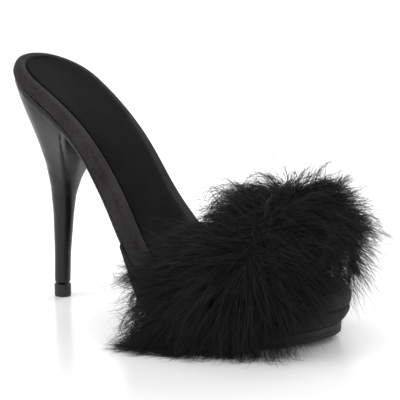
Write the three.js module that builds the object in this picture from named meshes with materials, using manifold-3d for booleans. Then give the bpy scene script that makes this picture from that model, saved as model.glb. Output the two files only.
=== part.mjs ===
// A high-heeled mule for the right foot: a curved footbed covered in microsuede, a stiletto heel moulded in
// one piece with its arch cover, a low platform, a ribbed outsole and one broad strap buried in marabou.
// Millimetres. +X runs from the heel to the toe, +Y to the inner side of the foot, +Z up. The origin is on
// the floor, in the middle of the tread under the ball of the foot.
import * as THREE from "three";
import { mergeVertices } from "three/addons/utils/BufferGeometryUtils.js";
import Module from "manifold-3d";

const wasm = await Module();
wasm.setup();

// Driving sizes
const soleLength = 248; // along the footbed, from the back of the seat to the tip of the toe
const ballWidth = 84.5;
const heelHeight = 132.8; // floor to the footbed's underside at the back of the seat
const ballHeight = 25; // floor to the top of the footbed under the ball
const footbedThickness = 7.6;
const outsoleThickness = 6;
const toeSpring = 5;
const seam = 0.3; // the clearance that two pieces keep where they meet
const weld = 0.01; // points closer than this are one
const facetAllowance = 0.15; // what flat facets cut off the strap's curve along the sole

// Footbed and sock lining
const seatRound = 27; // how far the round back of the seat reaches along the sole
const toeRound = 42;
const toeSquareness = 2.2;
const borderWidth = 5; // of the cover's rim round the sock, at the seat and the toe
const borderWaist = 9.5; // the same under the arch, where the sock is cut narrower
const recessDepth = 1.2;
const sockThickness = 1.2;
const seatDish = 1.6;
const coverRadius = 2.2; // rounding of the footbed's upper edge

// Platform
const platformStart = 0.528; // share of the sole's length where its wedge begins under the arch
const wedgeThickness = 2.2;
const wedgeRun = 38; // along the sole, from the wedge's thin end to its foot
const wedgeDepth = 17;
const toeTuck = 5; // how far the platform draws in from its top to the outsole at the toe
const sideTuck = 3;
const outsoleLip = 0.6;
const grooveDepth = 0.7;

// Heel
const tipRadius = 4.8;
const tipHeight = 7.2;
const heelSetback = 20; // from the back of the seat to the heel tip's centre
const breastSetback = 45.5; // from the back of the seat to the front of the seat's wings
const breastTongue = 1.5; // how far the middle of the breast runs ahead of its wings
const breastPocket = 3; // depth of the pockets between the wings and that tongue
const seatInset = 1.7;
const archCoverInset = 1.6;
const archCoverThickness = 2.2;
const seatFlange = 5; // depth of the moulded rim under the seat
const flangeStep = 0.25; // how far the heel's flare stays inside that rim
const flangeFade = 32; // over what length the rim thins out into the arch cover

// Strap
const strapWall = 1.8;
const strapBack = 4; // the strap's back edge, ahead of the ball
const strapWidth = 42;
const instepHeight = 31; // inside the strap's back edge, above the footbed
const toeHeight = 32; // inside its front edge
const archSquareness = 2.35;
const strapRows = 8;
const strapTurns = 14;
const lastingMargin = 8; // how far the strap's ends turn in under the footbed

// Marabou
const poufCover = 13; // dense feathers over the strap at its crown
const innerSlimness = 0.3; // how much less of them there is on the inner side, as a share
const lockLength = 18;
const lockTaper = 0.65; // how much shorter the locks are behind the crown, and in front further down
const lockLean = 0.7; // how much the locks hang instead of standing straight out
const lockBend = 0.12; // how far a lock's tip sinks, as a share of its length
const lockColumns = 8; // from the pouf's front edge over it to its back edge
const crownRows = 7; // rows of locks from the footbed's edge up to the crown, on each side
const dropRows = 2; // rows of locks from there down to the floor
const toeDroop = { width: 0.5, height: 0.3 }; // how much the way through narrows in front of the strap
const floorClearance = 1.5;
const soleClearance = 1.3; // between the feathers and the footbed they hang beside

// Sections of the footbed from heel to toe: place along the sole, downward pitch in degrees, and half width
// and sideways sway of the centre line as shares of the ball's width.
const soleSections = [
  { at: 0.0, pitch: 30.3, half: 0.336, sway: -0.007 },
  { at: 0.061, pitch: 31.4, half: 0.34, sway: 0.001 },
  { at: 0.121, pitch: 33.8, half: 0.343, sway: 0.005 },
  { at: 0.186, pitch: 38.0, half: 0.333, sway: 0.008 },
  { at: 0.251, pitch: 44.0, half: 0.326, sway: 0.008 },
  { at: 0.316, pitch: 51.3, half: 0.327, sway: 0.007 },
  { at: 0.385, pitch: 56.7, half: 0.33, sway: 0.004 },
  { at: 0.445, pitch: 56.7, half: 0.339, sway: 0.002 },
  { at: 0.506, pitch: 53.8, half: 0.368, sway: -0.001 },
  { at: 0.559, pitch: 50.0, half: 0.399, sway: -0.002 },
  { at: 0.607, pitch: 40.6, half: 0.437, sway: -0.003 },
  { at: 0.652, pitch: 24.7, half: 0.479, sway: -0.004 },
  { at: 0.696, pitch: 8.3, half: 0.5, sway: -0.003 },
  { at: 0.749, pitch: -2.6, half: 0.493, sway: -0.001 },
  { at: 0.802, pitch: -4.5, half: 0.475, sway: 0.003 },
  { at: 0.87, pitch: -1.0, half: 0.445, sway: 0.01 },
  { at: 1.0, pitch: 2.0, half: 0.36, sway: 0.036 },
];
const ballAt = 0.696; // place of the ball along the sole

// Rings of the footbed's skin, from its underside over the side to the rim round the sock: how far each lies
// inside the outline, and how far under the top.
const footbedRings = [
  { inset: 1.3, under: footbedThickness },
  { inset: 0.3, under: footbedThickness - 0.9 },
  { inset: 0, under: footbedThickness * 0.55 },
  { inset: 0.1, under: coverRadius },
  { inset: coverRadius * 0.32, under: coverRadius * 0.35 },
  { inset: coverRadius, under: 0 },
];

// The recess for the sock: how far its rim and its foot lie inside the border, and how far under the top.
const recessRings = [
  { inset: 0, under: 0.1 },
  { inset: 0.4, under: recessDepth },
];

// The outsole's side from the floor up: height as a share of its thickness, and inset as a share of the
// groove's depth. Two fine grooves run round its lower half.
const outsoleRings = [
  { up: 0, inset: 1 },
  { up: 0.06, inset: 0.25 },
  { up: 0.16, inset: 0.2 },
  { up: 0.2, inset: 1 },
  { up: 0.27, inset: 1 },
  { up: 0.31, inset: 0.15 },
  { up: 0.4, inset: 0.15 },
  { up: 0.44, inset: 1 },
  { up: 0.51, inset: 1 },
  { up: 0.55, inset: 0 },
  { up: 0.95, inset: 0 },
  { up: 1, inset: 0.5 },
];

// The platform's side from the outsole up: share of its height, and share of the tuck that is left.
const platformRings = [
  { up: 0, tuck: 1 },
  { up: 0.16, tuck: 0.7 },
  { up: 0.4, tuck: 0.32 },
  { up: 0.7, tuck: 0.08 },
  { up: 1, tuck: 0 },
];

// The heel's stem: height as a share of the heel height, then forward shift, half length and half width as
// multiples of the tip's radius.
const stemSections = [
  { up: 0.057, shift: 0.0, long: 0.96, wide: 0.96 },
  { up: 0.19, shift: 0.12, long: 1.0, wide: 0.98 },
  { up: 0.364, shift: 0.35, long: 1.27, wide: 1.2 },
];

// From there the heel opens out to the seat's outline: the share of the way up, the share of the way out, and
// how deep the pockets beside its breast are there, as a share of their depth.
const flareSections = [
  { up: 0.2, out: 0.06, pocket: 0 },
  { up: 0.38, out: 0.19, pocket: 0 },
  { up: 0.54, out: 0.38, pocket: 0.1 },
  { up: 0.68, out: 0.58, pocket: 0.3 },
  { up: 0.8, out: 0.76, pocket: 0.7 },
  { up: 0.9, out: 0.9, pocket: 1 },
  { up: 0.96, out: 0.965, pocket: 0.7 },
  { up: 1, out: 1, pocket: 0 },
];

// Points across the heel's breast: place from the outer side (-1) to the inner side, how far the point lies
// ahead of the wings as a share of the tongue's length, and its share of the pockets' depth.
const breastPoints = [
  { side: -0.93, ahead: 0.1, pocket: 0.35 },
  { side: -0.78, ahead: 0.05, pocket: 0.85 },
  { side: -0.45, ahead: 0.4, pocket: 0.6 },
  { side: 0, ahead: 1, pocket: 0 },
  { side: 0.45, ahead: 0.4, pocket: 0.6 },
  { side: 0.78, ahead: 0.05, pocket: 0.85 },
  { side: 0.93, ahead: 0.1, pocket: 0.35 },
];

// The pouf's section on its way from the floor up to the crown: how far round that is, how far the feathers
// reach behind and ahead of the strap as shares of the strap's width, how thick they lie on it as a share of
// their thickness at the crown, and how far that thickness leans forward.
const poufSections = [
  { round: 0, behind: 0.62, ahead: 0.1, thick: 1, lean: -0.75 },
  { round: 0.2, behind: 0.54, ahead: 0.56, thick: 0.76, lean: -0.6 },
  { round: 0.4, behind: 0.36, ahead: 0.76, thick: 0.6, lean: -0.25 },
  { round: 0.6, behind: 0.18, ahead: 0.7, thick: 0.64, lean: 0.1 },
  { round: 0.8, behind: 0.02, ahead: 0.5, thick: 0.84, lean: 0.7 },
  { round: 1, behind: 0, ahead: 0.45, thick: 1, lean: 0.92 },
];

// A smooth function through one column of a table, by cubic pieces whose slopes come from the neighbours.
function column(rows, place, key) {
  const x = rows.map((row) => row[place]);
  const y = rows.map((row) => row[key]);
  const last = x.length - 1;
  const slope = x.map((_, i) => {
    const a = Math.max(i - 1, 0);
    const b = Math.min(i + 1, last);
    return (y[b] - y[a]) / (x[b] - x[a]);
  });
  return (at) => {
    const t = THREE.MathUtils.clamp(at, x[0], x[last]);
    let i = 0;
    while (i < last - 1 && t > x[i + 1]) i += 1;
    const step = x[i + 1] - x[i];
    const u = (t - x[i]) / step;
    const rise = y[i + 1] - y[i];
    const a = slope[i] * step - rise;
    const b = rise - slope[i + 1] * step;
    return y[i] + u * rise + u * (1 - u) * (a * (1 - u) + b * u);
  };
}

// The footbed's centre line, walked from the heel with the pitch scaled until it drops by the right amount.
const pitchAt = column(soleSections, "at", "pitch");
const spineSteps = 400;

function walkSpine(steepness) {
  const points = [{ x: 0, z: 0, pitch: THREE.MathUtils.degToRad(pitchAt(0)) * steepness }];
  for (let i = 1; i <= spineSteps; i += 1) {
    const before = points[i - 1];
    const pitch = THREE.MathUtils.degToRad(pitchAt(i / spineSteps)) * steepness;
    const mean = (pitch + before.pitch) / 2;
    const step = soleLength / spineSteps;
    points.push({ x: before.x + step * Math.cos(mean), z: before.z - step * Math.sin(mean), pitch });
  }
  return points;
}

const ballStep = Math.round(ballAt * spineSteps);

function makeSpine() {
  const seatTilt = THREE.MathUtils.degToRad(soleSections[0].pitch);
  const drop = heelHeight + footbedThickness * Math.cos(seatTilt) - ballHeight;
  let low = 0.5;
  let high = 1.5;
  for (let i = 0; i < 40; i += 1) {
    const middle = (low + high) / 2;
    if (-walkSpine(middle)[ballStep].z < drop) low = middle;
    else high = middle;
  }
  const points = walkSpine(low);
  const ball = points[ballStep];
  return points.map((p) => ({ x: p.x - ball.x, z: p.z - ball.z + ballHeight, pitch: p.pitch }));
}

const spine = makeSpine();
const seatBackX = spine[0].x;
const seatBackAt = (distance) => seatBackX + distance;

// A point of the shoe: a length along the sole, a place across it, and a height off the footbed's top. Past
// both ends the sole runs straight on.
function place(along, across, height) {
  const at = (along / soleLength) * spineSteps;
  const i = THREE.MathUtils.clamp(Math.floor(at), 0, spineSteps - 1);
  const part = at - i;
  const pitch = THREE.MathUtils.lerp(spine[i].pitch, spine[i + 1].pitch, part);
  return new THREE.Vector3(
    THREE.MathUtils.lerp(spine[i].x, spine[i + 1].x, part) + height * Math.sin(pitch),
    across,
    THREE.MathUtils.lerp(spine[i].z, spine[i + 1].z, part) + height * Math.cos(pitch),
  );
}

// The length along the sole whose top lies over a given x.
function alongOver(x) {
  let i = 0;
  while (i < spineSteps - 1 && spine[i + 1].x < x) i += 1;
  return ((i + (x - spine[i].x) / (spine[i + 1].x - spine[i].x)) * soleLength) / spineSteps;
}

const halfAt = column(soleSections, "at", "half");
const swayAt = column(soleSections, "at", "sway");

// Half width of the outline, drawn in to nothing at the round back of the seat and at the tip of the toe.
function halfWidth(along) {
  const fromSeat = Math.min(along / seatRound, 1);
  const intoToe = Math.max(1 - (soleLength - along) / toeRound, 0);
  const seatEnd = Math.sqrt(Math.max(1 - (1 - fromSeat) ** 2, 0));
  const toeEnd = Math.sqrt(Math.max(1 - intoToe ** toeSquareness, 0));
  return ballWidth * halfAt(along / soleLength) * seatEnd * toeEnd;
}

const sway = (along) => ballWidth * swayAt(along / soleLength);

// The same, moved in by a distance at the sides and at the round back of the seat.
function halfWithin(along, inset) {
  const stretched = along - (Math.max(seatRound - along, 0) * inset) / (seatRound - inset);
  return halfWidth(stretched) * (1 - inset / (ballWidth * soleSections[0].half));
}

// The outline as a closed loop of [along, across], from a start along the outer side to the toe and back
// along the inner side. Steps are closer together towards round ends.
function outline(start, steps) {
  const evenness = start > 0 ? 0.6 : 0.25;
  const lengths = Array.from({ length: steps + 1 }, (_, i) => {
    const even = i / steps;
    const bunched = start > 0 ? Math.sin((Math.PI / 2) * even) : (1 - Math.cos(Math.PI * even)) / 2;
    return THREE.MathUtils.lerp(start, soleLength, THREE.MathUtils.lerp(bunched, even, evenness));
  });
  const outer = lengths.map((s) => [s, sway(s) - halfWidth(s)]);
  const inner = lengths.slice(0, -1).map((s) => [s, sway(s) + halfWidth(s)]).reverse();
  if (start === 0) inner.pop();
  return outer.concat(inner);
}

// The loop moved inwards by a distance, or by a distance for each of its points.
function insetLoop(loop, distance) {
  const count = loop.length;
  return loop.map(([along, across], i) => {
    const before = loop[(i + count - 1) % count];
    const after = loop[(i + 1) % count];
    const run = [after[0] - before[0], after[1] - before[1]];
    const size = Math.hypot(...run);
    const inwards = typeof distance === "number" ? distance : distance(along);
    return [along - (run[1] / size) * inwards, across + (run[0] / size) * inwards];
  });
}

// Triangle list with shared points.
class Skin {
  constructor() {
    this.points = [];
    this.faces = [];
  }

  add(point) {
    this.points.push(point.x, point.y, point.z);
    return this.points.length / 3 - 1;
  }

  quad(a, b, c, d) {
    if (a !== b && b !== c && a !== c) this.faces.push(a, b, c);
    if (a !== c && c !== d && a !== d) this.faces.push(a, c, d);
  }

  geometry() {
    const made = new THREE.BufferGeometry();
    made.setAttribute("position", new THREE.Float32BufferAttribute(this.points, 3));
    made.setIndex(this.faces);
    return made;
  }
}

// A closed body from rings stacked bottom to top. Each ring is a loop whose first half runs along one side of
// the shoe and whose second half comes back along the other, so that its two halves are bridged by bands
// across the shoe. lift(point, share, bottom) may raise or sink the points of a bridged face.
function stackRings(rings, { tipped, bands = 1, lift = null }) {
  const skin = new Skin();
  const count = rings[0].length;
  const ids = rings.map((ring) => ring.map((point) => skin.add(point)));
  for (let k = 0; k < rings.length - 1; k += 1)
    for (let i = 0; i < count; i += 1) {
      const j = (i + 1) % count;
      skin.quad(ids[k][i], ids[k][j], ids[k + 1][j], ids[k + 1][i]);
    }
  const partner = (i) => (tipped ? (count - i) % count : count - 1 - i);
  const half = tipped ? count / 2 : (count - 1) / 2;
  const bridge = (ring, id, up) => {
    const rows = [];
    for (let i = 0; i <= half; i += 1) {
      const far = partner(i);
      if (far === i) {
        rows.push(new Array(bands + 1).fill(id[i]));
        continue;
      }
      const row = [id[i]];
      for (let b = 1; b < bands; b += 1) {
        const point = ring[i].clone().lerp(ring[far], b / bands);
        if (lift) lift(point, b / bands, i, !up);
        row.push(skin.add(point));
      }
      row.push(id[far]);
      rows.push(row);
    }
    for (let i = 0; i < half; i += 1)
      for (let b = 0; b < bands; b += 1) {
        const corners = [rows[i][b], rows[i + 1][b], rows[i + 1][b + 1], rows[i][b + 1]];
        if (!up) corners.reverse();
        skin.quad(...corners);
      }
  };
  bridge(rings[0], ids[0], false);
  bridge(rings.at(-1), ids.at(-1), true);
  return skin.geometry();
}

// A closed body from plain rings, with a fan over each end.
function stackFans(rings) {
  const skin = new Skin();
  const count = rings[0].length;
  const ids = rings.map((ring) => ring.map((point) => skin.add(point)));
  for (let k = 0; k < rings.length - 1; k += 1)
    for (let i = 0; i < count; i += 1) {
      const j = (i + 1) % count;
      skin.quad(ids[k][i], ids[k][j], ids[k + 1][j], ids[k + 1][i]);
    }
  for (const [ring, id, up] of [
    [rings[0], ids[0], false],
    [rings.at(-1), ids.at(-1), true],
  ]) {
    const mean = ring.reduce((sum, p) => sum.add(p), new THREE.Vector3()).divideScalar(count);
    const middle = skin.add(mean);
    for (let i = 0; i < count; i += 1) {
      const j = (i + 1) % count;
      if (up) skin.faces.push(id[i], id[j], middle);
      else skin.faces.push(id[j], id[i], middle);
    }
  }
  return skin.geometry();
}

// A closed sheet between two grids of points, an inner and an outer one.
function sheetBetween(inner, outer) {
  const skin = new Skin();
  const inside = inner.map((row) => row.map((point) => skin.add(point)));
  const outside = outer.map((row) => row.map((point) => skin.add(point)));
  const rows = inner.length - 1;
  const columns = inner[0].length - 1;
  for (let i = 0; i < rows; i += 1)
    for (let j = 0; j < columns; j += 1) {
      skin.quad(outside[i][j], outside[i + 1][j], outside[i + 1][j + 1], outside[i][j + 1]);
      skin.quad(inside[i][j], inside[i][j + 1], inside[i + 1][j + 1], inside[i + 1][j]);
    }
  for (let j = 0; j < columns; j += 1) {
    skin.quad(outside[0][j], outside[0][j + 1], inside[0][j + 1], inside[0][j]);
    skin.quad(inside[rows][j], inside[rows][j + 1], outside[rows][j + 1], outside[rows][j]);
  }
  for (let i = 0; i < rows; i += 1) {
    skin.quad(inside[i][0], inside[i + 1][0], outside[i + 1][0], outside[i][0]);
    skin.quad(outside[i][columns], outside[i + 1][columns], inside[i + 1][columns], inside[i][columns]);
  }
  return skin.geometry();
}

// Between three.js geometry and solids that can be joined and cut.
function solidOf(geometry) {
  const merged = mergeVertices(geometry.clone().deleteAttribute("normal").deleteAttribute("uv"), 1e-4);
  return new wasm.Manifold(
    new wasm.Mesh({
      numProp: 3,
      vertProperties: new Float32Array(merged.attributes.position.array),
      triVerts: new Uint32Array(merged.index.array),
    }),
  );
}

// A solid's skin, with points closer than the weld made one and the faces that this closes up left out.
function geometryOf(solid) {
  const mesh = solid.getMesh();
  const made = new THREE.BufferGeometry();
  made.setAttribute("position", new THREE.BufferAttribute(new Float32Array(mesh.vertProperties), 3));
  made.setIndex(new THREE.BufferAttribute(new Uint32Array(mesh.triVerts), 1));
  const welded = mergeVertices(made, weld);
  const corners = welded.index.array;
  const faces = new Map();
  for (let i = 0; i < corners.length; i += 3) {
    const face = [corners[i], corners[i + 1], corners[i + 2]];
    if (new Set(face).size < 3) continue;
    const key = [...face].sort((p, q) => p - q).join();
    if (faces.has(key)) faces.delete(key);
    else faces.set(key, face);
  }
  welded.setIndex([...faces.values()].flat());
  return welded;
}

const largest = (solid) => solid.decompose().sort((a, b) => b.volume() - a.volume())[0];

// How far the foot's seat is hollowed at a length along the sole, and across it.
function dish(along, share) {
  const fade = Math.max(1 - Math.abs(along - seatRound) / (seatRound * 1.9), 0);
  return seatDish * fade * fade * (3 - 2 * fade) * 4 * share * (1 - share);
}

// Footbed
const footbedSteps = 42;
const footbedOutline = outline(0, footbedSteps);

// The border round the sock at a length along the sole, and a distance more.
function borderAnd(more) {
  return (along) => {
    const share = along / soleLength;
    const intoArch = THREE.MathUtils.smoothstep(share, 0.12, 0.5);
    const outOfArch = 1 - THREE.MathUtils.smoothstep(share, 0.6, 0.85);
    return THREE.MathUtils.lerp(borderWidth, borderWaist, intoArch * outOfArch) + more;
  };
}

function makeFootbed() {
  const recess = recessRings.map(({ inset, under }) => ({ inset: borderAnd(inset), under }));
  const rings = [...footbedRings, ...recess].map(({ inset, under }) =>
    insetLoop(footbedOutline, inset).map(([along, across]) => place(along, across, -under)),
  );
  const sink = (point, share, i, bottom) => {
    if (!bottom) point.z -= dish(footbedOutline[i][0], share);
  };
  return stackRings(rings, { tipped: true, bands: 4, lift: sink });
}

// Sock lining, laid in the footbed's recess.
function makeSock() {
  const edge = recessRings.at(-1).inset + seam;
  const under = recessDepth - seam;
  const rings = [
    { inset: edge, under },
    { inset: edge, under: under - sockThickness * 0.6 },
    { inset: edge + sockThickness * 0.5, under: under - sockThickness },
  ].map((ring) =>
    insetLoop(footbedOutline, borderAnd(ring.inset)).map(([along, across]) =>
      place(along, across, -ring.under),
    ),
  );
  const sink = (point, share, i) => {
    point.z -= dish(footbedOutline[i][0], share);
  };
  return stackRings(rings, { tipped: true, bands: 4, lift: sink });
}

// Height of the outsole's bottom over the floor, rising in the toe's spring.
const springStart = (soleLength * (1 - ballAt)) * 0.55;
const toeX = spine[spineSteps].x;

function springAt(x) {
  const share = Math.max((x - springStart) / (toeX - springStart), 0);
  return toeSpring * share ** 1.6;
}

// Where the platform's underside lies: a wedge's depth under the arch, cut off by the outsole's top.
function platformFloor(along) {
  const top = place(along, 0, -(footbedThickness + seam));
  const share = Math.max((along - platformStart * soleLength) / wedgeRun, 0);
  const depth = wedgeThickness + (wedgeDepth - wedgeThickness) * share ** 1.35;
  const bottom = place(along, 0, -(footbedThickness + seam + depth));
  const roof = outsoleThickness + seam + springAt(top.x);
  if (bottom.z > roof) return bottom;
  const part = (top.z - roof) / (top.z - bottom.z);
  return top.lerp(bottom, part);
}

const tuckAt = (along) => {
  const toeward = THREE.MathUtils.smoothstep(along, ballAt * soleLength, soleLength);
  return THREE.MathUtils.lerp(sideTuck, toeTuck, toeward);
};

// Platform
function makePlatform() {
  const loop = outline(platformStart * soleLength, 26);
  const fullDepth = ballHeight - footbedThickness - outsoleThickness;
  const wedgeShare = (along) => {
    const top = place(along, 0, -(footbedThickness + seam));
    return Math.min(top.distanceTo(platformFloor(along)) / fullDepth, 1);
  };
  const rings = platformRings.map(({ up, tuck }) => {
    const drawnIn = insetLoop(loop, (along) => 0.4 + tuck * tuckAt(along) * wedgeShare(along));
    return drawnIn.map(([along, across], i) => {
      const from = place(along, across, -(footbedThickness + seam));
      const to = platformFloor(along);
      return new THREE.Vector3(
        THREE.MathUtils.lerp(to.x, from.x, up),
        across,
        THREE.MathUtils.lerp(to.z, from.z, up),
      );
    });
  });
  return stackRings(rings, { tipped: false });
}

// Outsole
const outsoleStartX = platformFootX();

function platformFootX() {
  let along = platformStart * soleLength;
  const grounded = (s) => platformFloor(s).z <= outsoleThickness + seam + springAt(platformFloor(s).x) + 0.05;
  while (!grounded(along)) along += 0.25;
  return platformFloor(along).x;
}

function makeOutsole() {
  const loop = outline(alongOver(outsoleStartX), 20);
  const rings = outsoleRings.map(({ up, inset }) => {
    const drawnIn = insetLoop(loop, (along) => 0.4 + tuckAt(along) - outsoleLip + inset * grooveDepth);
    return drawnIn.map(([along, across]) => {
      const x = place(along, 0, 0).x;
      return new THREE.Vector3(x, across, springAt(x) + up * outsoleThickness);
    });
  });
  return stackRings(rings, { tipped: false });
}

// Heel tip
const tipX = seatBackAt(heelSetback);
const heelSides = 24;

function ovalRing(x, z, long, wide) {
  return Array.from({ length: heelSides }, (_, i) => {
    const turn = (2 * Math.PI * i) / heelSides;
    return new THREE.Vector3(x + long * Math.cos(turn), wide * Math.sin(turn), z);
  });
}

function makeHeelTip() {
  const rows = [
    { z: 0, r: tipRadius - 0.5 },
    { z: 0.5, r: tipRadius },
    { z: tipHeight - 0.3, r: tipRadius },
    { z: tipHeight, r: tipRadius - 0.3 },
  ];
  return stackFans(rows.map(({ z, r }) => ovalRing(tipX, z, r, r)));
}

const breast = alongOver(seatBackAt(breastSetback));

// The seat's outline, from the breast on the inner side round the back to the breast on the outer side, and
// across the breast. Each point knows its turn round the stem.
function seatRing() {
  const sides = 11;
  const inset = seatInset + flangeStep;
  const rim = (s, side) => {
    const top = place(s, sway(s) + side * halfWithin(s, inset), -(footbedThickness + seam));
    return top.setZ(top.z - seatFlange / 2);
  };
  const lengths = Array.from({ length: sides + 1 }, (_, i) =>
    THREE.MathUtils.lerp(breast, inset, Math.sin((Math.PI / 2) * (i / sides))),
  );
  const inner = lengths.map((s) => rim(s, 1));
  const outer = lengths.slice(0, -1).map((s) => rim(s, -1)).reverse();
  const round = [...inner, ...outer].map((edge) => ({ edge, pocket: 0 }));
  const across = breastPoints.map(({ side, ahead, pocket }) => ({
    edge: rim(breast + breastTongue * ahead, side),
    pocket,
  }));
  const wing = Math.PI * 0.27;
  round.forEach((point, i) => {
    point.turn = wing + ((2 * Math.PI - 2 * wing) * i) / (round.length - 1);
  });
  across.forEach((point, i) => {
    point.turn = -wing + (2 * wing * (i + 1)) / (across.length + 1);
  });
  return [...round, ...across];
}

// Heel: a stem that opens out into the seat, and the plate under the footbed, moulded in one.
function makeStem() {
  const seat = seatRing();
  const stemRing = ({ up, shift, long, wide }) =>
    seat.map(({ turn }) => {
      const x = tipX + tipRadius * (shift + long * Math.cos(turn));
      return new THREE.Vector3(x, tipRadius * wide * Math.sin(turn), up * heelHeight);
    });
  const stem = stemSections.map(stemRing);
  for (const point of stem[0]) point.z = tipHeight + seam;
  const flare = flareSections.map(({ up, out, pocket }) =>
    stem.at(-1).map((start, i) => {
      const { edge, pocket: share } = seat[i];
      const x = THREE.MathUtils.lerp(start.x, edge.x, out) - breastPocket * pocket * share;
      const y = THREE.MathUtils.lerp(start.y, edge.y, out);
      return new THREE.Vector3(x, y, THREE.MathUtils.lerp(start.z, edge.z, up));
    }),
  );
  return stackFans([...stem, ...flare]);
}

// The plate has a deep rim round the seat and thins out into the arch cover.
function makeSeatPlate() {
  const end = platformStart * soleLength - 2 * seam;
  const seatSteps = 9;
  const archSteps = 12;
  const atSeat = Array.from({ length: seatSteps }, (_, i) =>
    THREE.MathUtils.lerp(breast, seatInset, Math.cos((Math.PI / 2) * ((i + 0.4) / seatSteps))),
  );
  const atArch = Array.from({ length: archSteps + 1 }, (_, i) => breast + ((end - breast) * i) / archSteps);
  const rings = [...atSeat, ...atArch].map((along) => {
    const fade = THREE.MathUtils.smoothstep(along, breast - flangeFade * 0.2, breast + flangeFade * 0.8);
    const depth = THREE.MathUtils.lerp(seatFlange, archCoverThickness, fade);
    const half = halfWithin(along, THREE.MathUtils.lerp(seatInset, archCoverInset, fade));
    const round = Math.min(depth * 0.4, half * 0.3);
    const edge = [
      [half - round, depth],
      [half - round * 0.3, depth - round * 0.3],
      [half, depth - round],
      [half, 0.3],
      [half - 0.2, 0],
    ];
    const mirrored = edge.map(([side, under]) => [-side, under]).reverse();
    return [...edge, ...mirrored].map(([side, under]) => {
      const top = place(along, sway(along) + side, -(footbedThickness + seam));
      const square = place(along, sway(along) + side, -(footbedThickness + seam + under));
      const plumb = top.clone().setZ(top.z - under);
      return plumb.lerp(square, fade);
    });
  });
  return stackFans(rings);
}

const makeHeel = () => geometryOf(solidOf(makeStem()).add(solidOf(makeSeatPlate())));

// The arch that the strap follows over the foot, at a place along X: half width, spring line and crown height
// of its inner face.
function archAt(x) {
  const along = alongOver(Math.min(x, strapBack + strapWidth));
  const share = (x - strapBack) / strapWidth;
  const bed = place(along, 0, 0);
  const slope = halfWidth(along + 0.5) - halfWidth(along - 0.5);
  return {
    middle: sway(along),
    half: halfWidth(along) + (seam + facetAllowance) * Math.hypot(1, slope),
    base: bed.z - footbedThickness,
    crown: bed.z + THREE.MathUtils.lerp(instepHeight, toeHeight, share),
  };
}

// A point of that arch, grown outwards, from the outer side (turn 0) over the crown to the inner side
// (turn 1).
function archPoint(arch, x, turn, grow) {
  const angle = Math.PI * turn;
  const power = 2 / archSquareness;
  const cos = Math.cos(angle);
  const sin = Math.sin(angle);
  return new THREE.Vector3(
    x,
    arch.middle - (arch.half + grow) * Math.sign(cos) * Math.abs(cos) ** power,
    arch.base + (arch.crown - arch.base + grow) * Math.abs(sin) ** power,
  );
}

const strapRowStep = strapWidth / strapRows;
const strapRowPlaces = Array.from({ length: strapRows + 1 }, (_, i) => strapBack + strapRowStep * i);

// One layer of the strap, grown outwards from its inner face, with its ends turned in under the footbed.
function strapLayer(grow, ends, spread) {
  return strapRowPlaces.map((rowPlace, i) => {
    const x = rowPlace + spread * ((2 * i) / strapRows - 1);
    const arch = archAt(x);
    const fold = arch.base - seam - grow;
    const margin = (side, reach) =>
      new THREE.Vector3(x, arch.middle + side * (arch.half + grow - reach), fold);
    const row = [margin(-1, ends), margin(-1, grow + 2), margin(-1, 0)];
    for (let j = 1; j < strapTurns; j += 1) row.push(archPoint(arch, x, j / strapTurns, grow));
    row.push(margin(1, 0), margin(1, grow + 2), margin(1, ends));
    return row;
  });
}

function makeStrap() {
  const inner = strapLayer(0, lastingMargin, 0);
  const outer = strapLayer(strapWall, lastingMargin + strapWall, 0);
  return sheetBetween(inner, outer);
}

// The strap with a clearance all round it, to be cut out of the platform.
function strapRoom() {
  const inner = strapLayer(-seam, lastingMargin + seam, seam);
  const outer = strapLayer(strapWall + seam, lastingMargin + strapWall + 2 * seam, seam);
  return solidOf(sheetBetween(inner, outer));
}

// A repeatable wobble between -1 and 1.
const wobble = (i, pace) => Math.sin(i * pace) * Math.cos(i * pace * 0.37 + 1);

// The arch that the feathers' inner side follows: the strap's own, and in front of it one that closes in.
function poufArch(x) {
  const front = strapBack + strapWidth;
  const arch = archAt(THREE.MathUtils.clamp(x, strapBack - strapWidth / 3, front));
  const droop = THREE.MathUtils.smoothstep(x, front, front + strapWidth);
  arch.half *= 1 - toeDroop.width * droop;
  arch.crown -= toeDroop.height * droop * toeHeight;
  return arch;
}

// A point of the pouf: its place along X, its row from one side of the floor over the crown to the other
// side, and its height over the strap.
function poufPoint(x, row, height) {
  const arch = poufArch(x);
  const grow = strapWall + seam + height;
  const step = row - dropRows;
  const steps = 2 * crownRows;
  if (step >= 0 && step <= steps) return archPoint(arch, x, step / steps, grow);
  const side = step < 0 ? -1 : 1;
  const down = side < 0 ? -step : step - steps;
  const under = arch.base * (1 - down / dropRows);
  return new THREE.Vector3(x, arch.middle + side * (arch.half + grow), under);
}

const poufColumns = Object.fromEntries(
  ["behind", "ahead", "thick", "lean"].map((key) => [key, column(poufSections, "round", key)]),
);

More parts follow.
